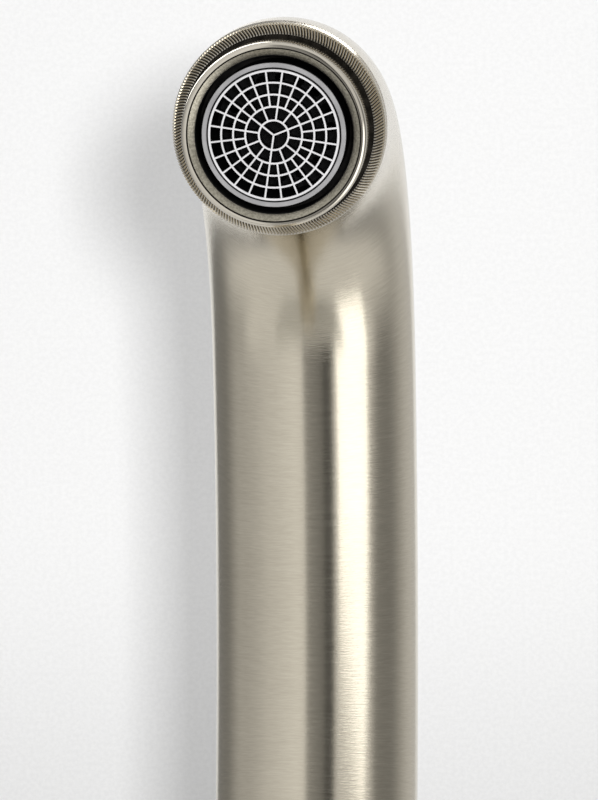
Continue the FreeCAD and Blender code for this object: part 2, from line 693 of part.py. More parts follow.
def make_dome_cover():
    """Fixed dome under the lever, struck from the pivot so that the cap can rock over it."""
    inside_r = dome_r - DOME_WALL
    skirt_in = register_r + SEATED
    skirt_out = skirt_in + DOME_SKIRT_W
    skirt_bottom = head_top - REGISTER_H
    skirt_top = pivot_level + DOME_SKIRT_H
    low = math.degrees(math.acos(DOME_SKIRT_H / dome_r))
    low_in = math.degrees(math.acos((head_top - pivot_level) / inside_r))
    outside = (on_sphere(dome_r, (low + DOME_OPENING) / 2), on_sphere(dome_r, DOME_OPENING))
    inside = (on_sphere(inside_r, (low_in + DOME_OPENING) / 2), on_sphere(inside_r, low_in))
    return lathe(
        (skirt_in, skirt_bottom), (skirt_out, skirt_bottom), (skirt_out, skirt_top), on_sphere(dome_r, low),
        outside, on_sphere(inside_r, DOME_OPENING), inside, (skirt_in, head_top))


def paddle_section(forward, level, width, thickness):
    """Oval outline across the paddle at a distance forward of the body's axis."""
    half = (width - thickness) / 2
    r = thickness / 2
    z = pivot_level + level
    top, bottom = [[V(side * half, -forward, z + up * r) for side in (-1, 1)] for up in (1, -1)]
    return Part.Wire([
        Part.LineSegment(top[0], top[1]).toShape(),
        Part.Arc(top[1], V(half + r, -forward, z), bottom[1]).toShape(),
        Part.LineSegment(bottom[1], bottom[0]).toShape(),
        Part.Arc(bottom[0], V(-half - r, -forward, z), top[0]).toShape(),
    ])


def paddle_level(forward):
    return LEVER_LEVEL + forward * math.tan(math.radians(LEVER_RISE))


def make_lever_handle():
    """Hollow cap struck from the pivot, with a tapering paddle and a square-bored boss for the stem."""
    sections = [
        (-LEVER_TAIL, paddle_level(-LEVER_TAIL) - LEVER_TAIL_DROP, LEVER_ROOT_W - LEVER_TAIL_T, LEVER_TAIL_T),
        (LEVER_ROOT, paddle_level(LEVER_ROOT), LEVER_ROOT_W, LEVER_ROOT_T),
        (LEVER_WAIST, paddle_level(LEVER_WAIST), LEVER_WAIST_W, LEVER_WAIST_T),
        (LEVER_LENGTH, paddle_level(LEVER_LENGTH), LEVER_TIP_W, LEVER_TIP_T),
    ]
    paddle = Part.makeLoft([paddle_section(*section) for section in sections], True, False)
    is_tip = lambda e: all(abs(v.Y + LEVER_LENGTH) < 1e-6 for v in e.Vertexes)
    paddle = round_edges(paddle, LEVER_TIP_ROUND, is_tip)
    inside = Part.makeSphere(cap_bore_r, pivot)
    ball = Part.makeSphere(cap_r, pivot)
    keep = Part.makeBox(4 * cap_r, 4 * cap_r, 2 * cap_r, V(-2 * cap_r, -2 * cap_r, RIM_LEVEL))
    keep.rotate(ORIGIN, V(1, 0, 0), LIFT_MAX / 2)
    keep.translate(pivot)
    boss = disc(BOSS_D / 2, pivot_level + BOSS_LEVEL, pivot_level + cap_r).common(ball)
    handle = ball.common(keep).fuse(paddle).cut(inside).fuse(boss)
    side = STEM_SQUARE + 2 * SEATED
    socket_top = STEM_ABOVE + SOCKET_END_GAP
    socket = Part.makeBox(side, side, socket_top - BOSS_LEVEL, pivot + V(-side / 2, -side / 2, BOSS_LEVEL))
    handle = handle.cut(socket).cut(forward_bar(SCREW_D / 2 + SEATED, 0, cap_bore_r))
    return handle.cut(forward_bar(PLUG_D / 2 + SEATED, BOSS_D / 2, 2 * cap_r)).removeSplitter()


def forward_bar(radius, start, end):
    """A cylinder towards the front at the height of the grub screw."""
    return Part.makeCylinder(radius, end - start, pivot + V(0, -start, SCREW_LEVEL), V(0, -1, 0))


def make_grub_screw():
    """Headless screw that locks the handle on the stem."""
    start = STEM_SQUARE / 2
    screw = forward_bar(SCREW_D / 2, start, start + SCREW_L)
    key_base = pivot + V(0, -start - SCREW_L + SCREW_KEY_DEPTH, SCREW_LEVEL)
    return screw.cut(hexagon(SCREW_KEY, SCREW_KEY_DEPTH, key_base, V(0, -1, 0)))


def make_indicator_plug():
    """Round button in the cap's screw hole, following the cap's curve."""
    outside = Part.makeSphere(cap_r + PLUG_PROUD, pivot)
    inside = Part.makeSphere(cap_bore_r, pivot)
    behind = STEM_SQUARE / 2 + SCREW_L + SLIDING
    return forward_bar(PLUG_D / 2, behind, 2 * cap_r).common(outside).cut(inside)


gasket_top, clamp_joint, clamp_bottom = clamp_levels()
lower_o_ring, upper_o_ring = o_ring_levels()
nodes = {
    "mixer_body": make_mixer_body(),
    "lower_sleeve": make_lower_sleeve(),
    "base_ring": make_base_ring(),
    "base_seal": make_base_seal(),
    "fixing_stud": make_fixing_stud(),
    "clamp_gasket": make_clamp(clamp_joint, gasket_top),
    "clamp_plate": make_clamp(clamp_bottom, clamp_joint),
    "fixing_nut": make_fixing_nut(),
    "lower_slide_ring": make_slide_ring(SLEEVE_TOP),
    "upper_slide_ring": make_slide_ring(collar_top + RING_GAP),
    "lower_o_ring": make_o_ring(lower_o_ring),
    "upper_o_ring": make_o_ring(upper_o_ring),
    "spout_collar": make_spout_collar(),
    "spout_tube": make_spout_tube(),
    "aerator_housing": make_aerator_housing(),
    "aerator_cage": make_aerator_cage(),
    "aerator_jet_plate": make_aerator_jet_plate(),
    "aerator_strainer": make_aerator_strainer(),
    "aerator_washer": make_aerator_washer(),
    "cartridge_base": make_cartridge_base(),
    "cold_port_seal": make_port_seal(inlets[1]),
    "hot_port_seal": make_port_seal(inlets[0]),
    "outlet_port_seal": make_port_seal(outlet),
    "ceramic_fixed_disc": make_fixed_disc(),
    "ceramic_moving_disc": make_moving_disc(),
    "disc_carrier": make_disc_carrier(),
    "cartridge_housing": make_cartridge_housing(),
    "cartridge_nut": make_cartridge_nut(),
    "mixing_carrier": make_mixing_carrier(),
    "pivot_pin": cross_pin(PIVOT_D / 2, pivot_length),
    "lever_stem": make_lever_stem(),
    "dome_cover": make_dome_cover(),
    "lever_handle": make_lever_handle(),
    "grub_screw": make_grub_screw(),
    "indicator_plug": make_indicator_plug(),
}
os.makedirs("parts", exist_ok=True)
for name, shape in nodes.items():
    shape.exportStep(f"parts/{name}.step")
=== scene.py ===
import math
import bmesh
import bpy
from mathutils import Matrix, Vector


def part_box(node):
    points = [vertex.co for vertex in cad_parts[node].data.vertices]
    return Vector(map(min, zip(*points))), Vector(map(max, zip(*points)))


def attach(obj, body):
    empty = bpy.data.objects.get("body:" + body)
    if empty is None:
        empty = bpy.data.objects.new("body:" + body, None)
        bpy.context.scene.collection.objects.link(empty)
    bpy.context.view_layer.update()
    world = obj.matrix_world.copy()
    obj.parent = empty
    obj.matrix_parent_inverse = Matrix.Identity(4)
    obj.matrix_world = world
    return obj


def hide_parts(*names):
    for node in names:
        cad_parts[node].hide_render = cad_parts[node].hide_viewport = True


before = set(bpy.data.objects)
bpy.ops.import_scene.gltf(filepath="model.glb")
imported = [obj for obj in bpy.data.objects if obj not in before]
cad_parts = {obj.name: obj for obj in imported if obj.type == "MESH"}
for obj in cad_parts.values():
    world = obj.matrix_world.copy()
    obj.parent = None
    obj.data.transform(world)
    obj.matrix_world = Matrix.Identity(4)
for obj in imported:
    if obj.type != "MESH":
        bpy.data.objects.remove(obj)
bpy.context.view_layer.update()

# MIXER BODY
# A brass casting, turned on a lathe: only its head shows, between the collar and the dome.
# It is nickel plated, then brushed while it turns, so that fine lines run round it.


class Tone:
    """One value in a finish: a socket that adds, multiplies and mixes as a number or a vector does."""

    def __init__(self, socket):
        self.socket = socket
        self.tree = socket.id_data

    def node(self, kind, settings=None, out=0, **feeds):
        """Any other node of this finish: its settings come first, then the values and links of its inputs."""
        made = self.tree.nodes.new("ShaderNode" + kind)
        for name, value in (settings or {}).items():
            if name == "stops":
                set_stops(made.color_ramp.elements, value)
            else:
                setattr(made, name, value)
        for name, value in feeds.items():
            feed(self.tree, named_input(made, name), value)
        return Tone(made.outputs[out])

    def reckon(self, operation, *terms):
        return self.node("Math", {"operation": operation}, **{f"i{k}": term for k, term in enumerate(terms)})

    def __add__(self, other):
        return self.reckon("ADD", self, other)

    __radd__ = __add__

    def __sub__(self, other):
        return self.reckon("SUBTRACT", self, other)

    def __rsub__(self, other):
        return self.reckon("SUBTRACT", other, self)

    def __mul__(self, other):
        return self.reckon("MULTIPLY", self, other)

    __rmul__ = __mul__

    def __pow__(self, other):
        return self.reckon("POWER", self, other)

    def __rpow__(self, other):
        return self.reckon("POWER", other, self)

    def between(self, low, high):
        """0 below low, 1 above high, and smooth between them."""
        settings = {"interpolation_type": "SMOOTHSTEP"}
        return self.node("MapRange", settings, Value=self, From_Min=low, From_Max=high)

    def mix(self, first, second):
        """A colour between two, by this value."""
        return self.node("Mix", {"data_type": "RGBA"}, 2, i0=self, i6=first, i7=second)

    def stretch(self, factors):
        """A place, scaled along its axes."""
        return self.node("VectorMath", {"operation": "MULTIPLY"}, i0=self, i1=factors)

    def axis(self, name):
        return self.node("SeparateXYZ", None, name, Vector=self)

    def noise(self, scale, detail=2.0, rough=0.5):
        return self.node("TexNoise", None, 0, Vector=self, Scale=scale, Detail=detail, Roughness=rough)


def set_stops(elements, stops):
    """Set a ramp's stops from pairs of a place and a colour."""
    while len(elements) < len(stops):
        elements.new(0.5)
    for element, (place, colour) in zip(elements, stops):
        element.position = place
        element.color = (*colour, 1.0)


def named_input(node, name):
    """An input by its name, with _ for a space, or by its number, as i0."""
    return node.inputs[int(name[1:]) if name[1:].isdigit() else name.replace("_", " ")]


def feed(tree, socket, value):
    """Link a tone or another socket to an input, or set its number or colour."""
    if isinstance(value, Tone):
        value = value.socket
    if isinstance(value, bpy.types.NodeSocket):
        tree.links.new(value, socket)
    elif socket.type == "RGBA":
        socket.default_value = (*value, 1.0)
    else:
        socket.default_value = value


def start_finish(name):
    """A new material, and the place on the piece that its pattern follows."""
    material = bpy.data.materials.new(name)
    material.use_nodes = True
    coordinates = material.node_tree.nodes.new("ShaderNodeTexCoord")
    return material, Tone(coordinates.outputs["Object"])


def close_finish(material, bump=None, **values):
    """Feed the finish's values to its shader. A bump is its height, its depth in metres and its strength."""
    tree = material.node_tree
    shader = tree.nodes["Principled BSDF"]
    for name, value in values.items():
        feed(tree, named_input(shader, name), value)
    if bump:
        height, depth, strength = bump
        bumps = height.node("Bump", None, 0, Height=height, Distance=depth, Strength=strength)
        feed(tree, shader.inputs["Normal"], bumps)
    return material


NICKEL_DARK = (0.565, 0.515, 0.415)
NICKEL_LIGHT = (0.70, 0.645, 0.53)
BROAD_LINES = 0.3
LINES_ROUND = (75.0, 75.0, 7500.0)


def brushed_nickel(name, lines_along, place=None):
    """Nickel with brush lines, which are long along an axis where lines_along has a small factor."""
    material, here = start_finish(name)
    place = place(here) if place else here
    fine = place.stretch(lines_along).noise(1.0, 3.0, 0.65)
    broad = place.stretch(tuple(BROAD_LINES * factor for factor in lines_along)).noise(1.0, 2.0)
    lines = fine * 0.75 + broad * 0.25
    cloud = here.noise(38.0, 3.0)
    tone = lines * 0.7 + cloud * 0.3
    return close_finish(
        material, (fine, 4e-5, 0.42), Base_Color=tone.between(0.2, 0.8).mix(NICKEL_DARK, NICKEL_LIGHT),
        Roughness=0.10 + lines * 0.12, Metallic=1.0)


def dress(node, material):
    """Give a solid of the frame its finish."""
    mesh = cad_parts[node].data
    mesh.materials.clear()
    mesh.materials.append(material)


turned_nickel = brushed_nickel("turned_brushed_nickel", LINES_ROUND)
dress("mixer_body", turned_nickel)

# FOOT AND SLEEVE
# The flared foot and the sleeve above it are turned brass covers, plated and brushed like the body.
# They slide over the neck before the collar; a black rubber ring in the foot seals it to the worktop.
RUBBER_BLACK = (0.012, 0.012, 0.013)
MOULD_DUST = (0.035, 0.034, 0.033)


def rubber(name):
    """Matt black rubber, faintly mottled, with mould dust in its pores."""
    material, here = start_finish(name)
    grain = here.noise(1900.0, 3.0, 0.7)
    dust = here.noise(160.0, 4.0, 0.6).between(0.5, 0.8)
    return close_finish(
        material, (grain, 3e-5, 0.35), Base_Color=dust.mix(RUBBER_BLACK, MOULD_DUST),
        Roughness=0.55 + grain * 0.25, Specular_IOR_Level=0.35)


black_rubber = rubber("black_rubber")
dress("base_ring", turned_nickel)
dress("lower_sleeve", turned_nickel)
dress("base_seal", black_rubber)

# FIXING UNDER THE WORKTOP
# A zinc-plated steel stud hangs from the body. A rubber gasket and a steel horseshoe are pulled up
# against the worktop by a long hexagon nut. The stud's M8 thread is rolled, so it has round crests.
ZINC_DARK = (0.50, 0.51, 0.53)
ZINC_LIGHT = (0.66, 0.67, 0.69)
ZINC_STAIN = (0.42, 0.40, 0.34)
EVEN_MARKS = (900.0, 900.0, 900.0)
PLATE_MARKS = (60.0, 1700.0, 60.0)
STUD_PITCH = 0.00125
STUD_THREAD_DEPTH = 0.00072
STUD_SIDES = 48
STEPS_PER_TURN = 36
CREST_SIDES = 6
STUD_CREASE = math.radians(50)


def zinc_steel(name, marks_along=EVEN_MARKS):
    """Bright zinc on steel: bluish, slightly cloudy, with fine rolling marks."""
    material, here = start_finish(name)
    cloud = here.noise(210.0, 4.0, 0.6)
    marks = here.stretch(marks_along).noise(1.0, 3.0, 0.6)
    stain = here.noise(46.0, 3.0).between(0.52, 0.72)
    tint = (cloud * 0.6 + marks * 0.4).between(0.3, 0.7).mix(ZINC_DARK, ZINC_LIGHT)
    return close_finish(
        material, (marks, 2e-5, 0.3), Base_Color=(stain * 0.35).mix(tint, ZINC_STAIN),
        Roughness=0.27 + cloud * 0.2, Metallic=1.0)


class Steps:
    """A geometry tree under construction, with named inputs for its sizes."""

    def __init__(self, name, **sizes):
        self.tree = bpy.data.node_groups.new(name, "GeometryNodeTree")
        face = self.tree.interface
        face.new_socket("Geometry", in_out="INPUT", socket_type="NodeSocketGeometry")
        self.keys = {}
        for label, value in sizes.items():
            kind = "NodeSocketInt" if isinstance(value, int) else "NodeSocketFloat"
            self.keys[label] = face.new_socket(label, in_out="INPUT", socket_type=kind).identifier
        face.new_socket("Geometry", in_out="OUTPUT", socket_type="NodeSocketGeometry")
        self.sizes = sizes
        self.given = self.tree.nodes.new("NodeGroupInput").outputs

    def node(self, kind, settings=None, **feeds):
        """Any node of this tree: its settings come first, then the values and links of its inputs."""
        made = self.tree.nodes.new(kind)
        for name, value in (settings or {}).items():
            setattr(made, name, value)
        for name, value in feeds.items():
            feed(self.tree, named_input(made, name), value)
        return made.outputs

    def reckon(self, operation, *terms):
        feeds = {f"i{k}": term for k, term in enumerate(terms)}
        return self.node("ShaderNodeMath", {"operation": operation}, **feeds)[0]

    def vector(self, **parts):
        return self.node("ShaderNodeCombineXYZ", **parts)[0]

    def move(self, shape, height):
        """The shape, raised along Z."""
        return self.node("GeometryNodeTransform", Geometry=shape, Translation=self.vector(Z=height))[0]

    def join_smooth(self, parts):
        """The parts as one geometry, smoothly shaded."""
        joined = self.tree.nodes.new("GeometryNodeJoinGeometry")
        for part in parts:
            self.tree.links.new(part, joined.inputs[0])
        return self.node("GeometryNodeSetShadeSmooth", Geometry=joined.outputs[0])[0]

    def round_the_axis(self, shape, count, turn=0.0, height=0.0):
        """Copies of a shape, spread evenly round the Z axis."""
        spots = self.node("GeometryNodePoints", Count=count, Position=(0, 0, height))[0]
        step = self.reckon("DIVIDE", 2 * math.pi, count)
        angle = self.reckon("MULTIPLY_ADD", self.node("GeometryNodeInputIndex")[0], step, turn)
        spin = self.node("FunctionNodeEulerToRotation", Euler=self.vector(Z=angle))[0]
        return self.node("GeometryNodeInstanceOnPoints", Points=spots, Instance=shape, Rotation=spin)[0]

    def apply(self, name, seed_data, geometry, material):
        """Finish the tree, run it on the seed's data and return a plain mesh object."""
        real = self.node("GeometryNodeRealizeInstances", Geometry=geometry)[0]
        finished = self.node("GeometryNodeSetMaterial", Geometry=real, Material=material)[0]
        end = self.tree.nodes.new("NodeGroupOutput")
        self.tree.links.new(finished, end.inputs[0])
        seed = bpy.data.objects.new(name + "_seed", seed_data)
        bpy.context.scene.collection.objects.link(seed)
        maker = seed.modifiers.new("maker", "NODES")
        maker.node_group = self.tree
        for label, value in self.sizes.items():
            maker[self.keys[label]] = value
        ready = seed.evaluated_get(bpy.context.evaluated_depsgraph_get())
        mesh = bpy.data.meshes.new_from_object(ready)
        mesh.name = name
        mesh.materials.clear()
        mesh.materials.append(material)
        mesh.polygons.foreach_set("material_index", [0] * len(mesh.polygons))
        bpy.data.objects.remove(seed)
        piece = bpy.data.objects.new(name, mesh)
        bpy.context.scene.collection.objects.link(piece)
        return piece


bright_zinc = zinc_steel("bright_zinc")
stud_low, stud_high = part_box("fixing_stud")
stud_middle = (stud_low + stud_high) / 2
thread = Steps(
    "rolled_thread", Length=stud_high.z - stud_low.z, Crest=(stud_high.x - stud_low.x) / 2,
    Pitch=STUD_PITCH, Depth=STUD_THREAD_DEPTH)
stud_length, ridge_depth = thread.given["Length"], thread.given["Depth"]
core_r = thread.reckon("SUBTRACT", thread.given["Crest"], ridge_depth)
core = thread.node("GeometryNodeMeshCylinder", Vertices=STUD_SIDES, Radius=core_r, Depth=stud_length)[0]
core = thread.move(core, thread.reckon("DIVIDE", stud_length, 2.0))
run_out = thread.reckon("MULTIPLY", ridge_depth, 2.0)
helix_length = thread.reckon("SUBTRACT", stud_length, run_out)
turns = thread.reckon("DIVIDE", helix_length, thread.given["Pitch"])
helix = thread.node(
    "GeometryNodeCurveSpiral", Resolution=STEPS_PER_TURN, Rotations=turns, Start_Radius=core_r,
    End_Radius=core_r, Height=helix_length)[0]
ridge = thread.node("GeometryNodeCurvePrimitiveCircle", Resolution=CREST_SIDES, Radius=ridge_depth)[0]
ridges = thread.node("GeometryNodeCurveToMesh", Curve=helix, Profile_Curve=ridge, Fill_Caps=True)[0]
ridges = thread.move(ridges, ridge_depth)
rolled = thread.join_smooth([core, ridges])
stud = thread.apply("threaded_stud", bpy.data.meshes.new("stud_seed"), rolled, bright_zinc)
stud.data.transform(Matrix.Translation((stud_middle.x, stud_middle.y, stud_low.z)))
stud.data.set_sharp_from_angle(angle=STUD_CREASE)
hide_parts("fixing_stud")
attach(stud, "body")
dress("fixing_nut", bright_zinc)
dress("clamp_plate", zinc_steel("rolled_zinc_plate", PLATE_MARKS))
dress("clamp_gasket", black_rubber)

# SWIVEL BEARING
# Two thin washers of white slide plastic carry the collar; two black O-rings in the neck keep it tight.
# All of them are pushed over the neck by hand and greased.
SLIDE_DARK = (0.66, 0.65, 0.62)
SLIDE_LIGHT = (0.76, 0.75, 0.72)
FLOW_MARKS = (1.0, 1.0, 2.3)


def moulded_plastic(name, dark, light):
    """Moulded plastic: an even colour with flow marks and a fine spark-eroded skin."""
    material, here = start_finish(name)
    flow = here.stretch(FLOW_MARKS).noise(90.0, 3.0, 0.55)
    skin = here.noise(2600.0, 2.0, 0.5)
    return close_finish(
        material, (skin, 1.2e-5, 0.3), Base_Color=flow.between(0.3, 0.7).mix(dark, light),
        Roughness=0.42 + skin * 0.12, Specular_IOR_Level=0.45)


slide_plastic = moulded_plastic("slide_plastic", SLIDE_DARK, SLIDE_LIGHT)
dress("lower_slide_ring", slide_plastic)
dress("upper_slide_ring", slide_plastic)
greased_rubber = rubber("greased_rubber")
dress("lower_o_ring", greased_rubber)
dress("upper_o_ring", greased_rubber)

# SPOUT COLLAR
# The turning collar is turned brass with a slanted boss brazed on, plated and brushed like the body.
# It runs between the two slide rings, and the head of the body holds it down.
dress("spout_collar", turned_nickel)

# SPOUT TUBE
# A brass tube, bent round a tight elbow over the outlet and a long arch, plated, then brushed crosswise
# on a belt, so that short fine lines run round it. It is brazed into the collar's boss.
TUBE_R = 0.014
TUBE_BORE_R = 0.0108
SOCKET_R = 0.0120
SOCKET_DEPTH = 0.0082
REACH = 0.220
OUTLET_Z = 0.108283
STRAIGHT = 0.002
ELBOW_R = 0.039
ELBOW_RISE = math.radians(4.5)
ARCH_R = 0.185
ARM_SLOPE = math.radians(30)
ARM_LENGTH = 0.0552
BEND_STEPS = 100
ARM_STEPS = 30
TUBE_SIDES = 128
TUBE_CREASE = math.radians(40)
BELT_LINES = (5600.0, 520.0, 520.0)


def spout_line():
    """Points along the tube's middle, from the outlet to the collar."""
    points = [Vector((0, -REACH, OUTLET_Z)), Vector((0, -REACH, OUTLET_Z + STRAIGHT / 2))]
    elbow = Vector((0, -REACH + ELBOW_R, OUTLET_Z + STRAIGHT))
    turn = math.pi / 2 - ELBOW_RISE
    for k in range(BEND_STEPS + 1):
        angle = turn * k / BEND_STEPS
        points.append(elbow + ELBOW_R * Vector((0, -math.cos(angle), math.sin(angle))))
    arch = points[-1] + ARCH_R * Vector((0, math.sin(ELBOW_RISE), -math.cos(ELBOW_RISE)))
    for k in range(1, BEND_STEPS + 1):
        angle = -ELBOW_RISE + (ELBOW_RISE + ARM_SLOPE) * k / BEND_STEPS
        points.append(arch + ARCH_R * Vector((0, math.sin(angle), math.cos(angle))))
    down = Vector((0, math.cos(ARM_SLOPE), -math.sin(ARM_SLOPE)))
    last = points[-1]
    points += [last + down * ARM_LENGTH * k / ARM_STEPS for k in range(1, ARM_STEPS + 1)]
    return points


def straight_curve(name, points, closed=False):
    """A curve of straight runs through the points."""
    curve = bpy.data.curves.new(name, "CURVE")
    curve.dimensions = "3D"
    run = curve.splines.new("POLY")
    run.points.add(len(points) - 1)
    for knot, point in zip(run.points, points):
        knot.co = (*point, 1.0)
    run.use_cyclic_u = closed
    return curve


def along_the_tube(here):
    """The place by length along the tube and width and height across it."""
    along = here.node("Attribute", {"attribute_name": "along"}, "Fac")
    return here.node("CombineXYZ", None, 0, X=along, Y=here.axis("X"), Z=here.axis("Z"))


tube_nickel = brushed_nickel("belt_brushed_nickel", BELT_LINES, along_the_tube)
bend = Steps(
    "bent_tube", Radius=TUBE_R, Bore=TUBE_BORE_R, Socket=SOCKET_R, Socket_Depth=SOCKET_DEPTH,
    Sides=TUBE_SIDES)
length = bend.node("GeometryNodeSplineParameter")["Length"]
marked = bend.node(
    "GeometryNodeStoreNamedAttribute", {"data_type": "FLOAT", "domain": "POINT"},
    Geometry=bend.given["Geometry"], Name="along", Value=length)[0]
outer_ring, bore_ring = [
    bend.node("GeometryNodeCurvePrimitiveCircle", Resolution=bend.given["Sides"], Radius=radius)[0]
    for radius in (bend.given["Radius"], bend.given["Bore"])]
outside = bend.node("GeometryNodeCurveToMesh", Curve=marked, Profile_Curve=outer_ring)[0]
in_socket = bend.reckon("LESS_THAN", length, bend.given["Socket_Depth"])
step_out = bend.reckon("SUBTRACT", bend.reckon("DIVIDE", bend.given["Socket"], bend.given["Bore"]), 1.0)
widening = bend.reckon("MULTIPLY_ADD", in_socket, step_out, 1.0)
inside = bend.node("GeometryNodeCurveToMesh", Curve=marked, Profile_Curve=bore_ring, Scale=widening)[0]
inside = bend.node("GeometryNodeFlipFaces", Mesh=inside)[0]
pipe = bend.join_smooth([inside, outside])
tube = bend.apply("bent_spout_tube", straight_curve("spout_line", spout_line()), pipe, tube_nickel)
shape = bmesh.new()
shape.from_mesh(tube.data)
open_edges = [edge for edge in shape.edges if edge.is_boundary]
outlet_end = [edge for edge in open_edges if edge.verts[0].co.y < -REACH / 2]
collar_end = [edge for edge in open_edges if edge.verts[0].co.y > -REACH / 2]
for end in (outlet_end, collar_end):
    bmesh.ops.bridge_loops(shape, edges=end)
bmesh.ops.recalc_face_normals(shape, faces=shape.faces)
shape.to_mesh(tube.data)
shape.free()
tube.data.set_sharp_from_angle(angle=TUBE_CREASE)
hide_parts("spout_tube")
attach(tube, "spout")

# AERATOR INSERT
# A grey moulded cage closes the outlet with a net of rings and spokes, whose bars narrow and round off
# towards the front, so that they leave the mould. Behind it a black jet plate, a black strainer cup and
# a rubber washer are stacked into the bore.
cage_low, cage_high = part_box("aerator_cage")
CAGE_FRONT = OUTLET_Z - cage_low.z
CAGE_BACK = OUTLET_Z - cage_high.z
FLANGE_R = (cage_high.x - cage_low.x) / 2
FLANGE_SEAT = 0.0015
CAGE_R = 0.00937
RIM_R = 0.00880
RIM_LINE_R = 0.00866
FRONT_R = 0.00853
NET_R = 0.00825
RIM_SET_BACK = 0.00025
RIM_LEVEL = CAGE_FRONT - RIM_SET_BACK
CAGE_CORNER = 0.00005
SHELL_SIDES = 240
SHELL_CREASE = math.radians(25)
RING_RADII = {"First": 0.00193, "Second": 0.00370, "Third": 0.00528, "Fourth": 0.00683}
RING_SIDES = 96
RING_SHARE = 1.06
MIDDLE_SPOKES = 3
INNER_SPOKES = 12
OUTER_SPOKES = 24
NET_TURN = math.radians(-21.25)
NET_DEPTH = 0.0020
SPOKE_SET_BACK = 0.00002
BAR_BACK_HALF = 0.000165
BAR_FRONT_HALF = 0.000115
BAR_CROWN_HALF = 0.00007
BAR_CROWN = 0.00005
NET_GREYS = ((0.80, 0.79, 0.80), (0.88, 0.87, 0.88))
RIM_GREYS = ((0.36, 0.355, 0.36), (0.44, 0.435, 0.44))
RIM_LINE_SHADE = (0.03, 0.03, 0.03)
CELL_PAINTED_SHADE = (0.008, 0.008, 0.009)
SHADE_START = 0.00004
NET_SHADE_END = 0.00025
RIM_SHADE_MORE = 0.0006
JET_DARK = (0.006, 0.006, 0.007)
JET_LIGHT = (0.014, 0.014, 0.015)


def turned_shell(name, outline):
    """A closed outline of (radius, level) points, turned about the outlet's axis, levels pointing down."""
    rows = len(outline)
    points = []
    for k in range(SHELL_SIDES):
        angle = 2 * math.pi * k / SHELL_SIDES
        points += [
            (r * math.cos(angle), -REACH + r * math.sin(angle), OUTLET_Z - level) for r, level in outline]
    faces = []
    for k in range(SHELL_SIDES):
        near, far = k * rows, (k + 1) % SHELL_SIDES * rows
        for j in range(rows):
            n = (j + 1) % rows
            faces.append((near + j, near + n, far + n, far + j))
    mesh = bpy.data.meshes.new(name)
    mesh.from_pydata(points, [], faces)
    mesh.validate()
    mesh.shade_smooth()
    mesh.set_sharp_from_angle(angle=SHELL_CREASE)
    piece = bpy.data.objects.new(name, mesh)
    bpy.context.scene.collection.objects.link(piece)
    return piece


# Painted shade: the grey darkens to black into the cells and on the sides of the bars, and a dark line of
# painted shade runs in the step round the rim.
cage_plastic, here = start_finish("grey_cage_plastic")
flow = here.noise(420.0, 3.0, 0.55)
skin = here.noise(3000.0, 2.0)
r_squared = here.axis("X") ** 2 + (here.axis("Y") + REACH) ** 2
rim = r_squared.between(RIM_LINE_R ** 2, RIM_R ** 2)
cage_grey = rim.mix(flow.between(0.3, 0.7).mix(*NET_GREYS), flow.between(0.3, 0.7).mix(*RIM_GREYS))
# A dark line of painted shade in the step round the rim.
rim_shade_line = r_squared.between(FRONT_R ** 2, (FRONT_R + CAGE_CORNER) ** 2)
rim_shade_line = rim_shade_line * (1.0 - r_squared.between((RIM_R - CAGE_CORNER) ** 2, RIM_R ** 2))
cage_grey = rim_shade_line.mix(cage_grey, RIM_LINE_SHADE)
# Painted shade: behind the front the grey turns black, into the cells and down the sides of the bars.
shade_start = cage_low.z + SHADE_START + rim * RIM_SET_BACK
shade_end = cage_low.z + NET_SHADE_END + rim * RIM_SHADE_MORE
cage_grey = here.axis("Z").between(shade_start, shade_end).mix(cage_grey, CELL_PAINTED_SHADE)
close_finish(
    cage_plastic, (skin, 1e-5, 0.3), Base_Color=cage_grey, Roughness=0.34 + skin * 0.12,
    Specular_IOR_Level=0.45)
cage_outline = [
    (NET_R, CAGE_BACK), (FLANGE_R, CAGE_BACK), (FLANGE_R, FLANGE_SEAT), (CAGE_R, FLANGE_SEAT),
    (CAGE_R, RIM_LEVEL - CAGE_CORNER), (CAGE_R - CAGE_CORNER, RIM_LEVEL), (RIM_R, RIM_LEVEL),
    (RIM_LINE_R, RIM_LEVEL - RIM_SET_BACK / 2), (FRONT_R, CAGE_FRONT - CAGE_CORNER),
    (FRONT_R - CAGE_CORNER, CAGE_FRONT), (NET_R + CAGE_CORNER, CAGE_FRONT),
    (NET_R, CAGE_FRONT - CAGE_CORNER)]
cage = turned_shell("outlet_cage", cage_outline)
cage.data.materials.append(cage_plastic)

bar_outline = [
    (-BAR_CROWN_HALF, 0, 0), (-BAR_FRONT_HALF, -BAR_CROWN, 0), (-BAR_BACK_HALF, -NET_DEPTH, 0),
    (BAR_BACK_HALF, -NET_DEPTH, 0), (BAR_FRONT_HALF, -BAR_CROWN, 0), (BAR_CROWN_HALF, 0, 0)]
net = Steps("moulded_net", Bore=NET_R, Ring_share=RING_SHARE, Turn=NET_TURN, **RING_RADII)
spoke_section = net.given["Geometry"]
wider = net.vector(X=net.given["Ring_share"], Y=1.0, Z=1.0)
ring_section = net.node("GeometryNodeTransform", Geometry=spoke_section, Scale=wider)[0]
bars = []
for ring in RING_RADII:
    circle = net.node("GeometryNodeCurvePrimitiveCircle", Resolution=RING_SIDES, Radius=net.given[ring])[0]
    circle = net.node("GeometryNodeSetCurveNormal", {"mode": "Z_UP"}, Curve=circle)[0]
    bars.append(net.node("GeometryNodeCurveToMesh", Curve=circle, Profile_Curve=ring_section)[0])
spoke_rows = [
    (MIDDLE_SPOKES, 0.0, net.given["First"]), (INNER_SPOKES, net.given["First"], net.given["Second"]),
    (OUTER_SPOKES, net.given["Second"], net.given["Bore"])]
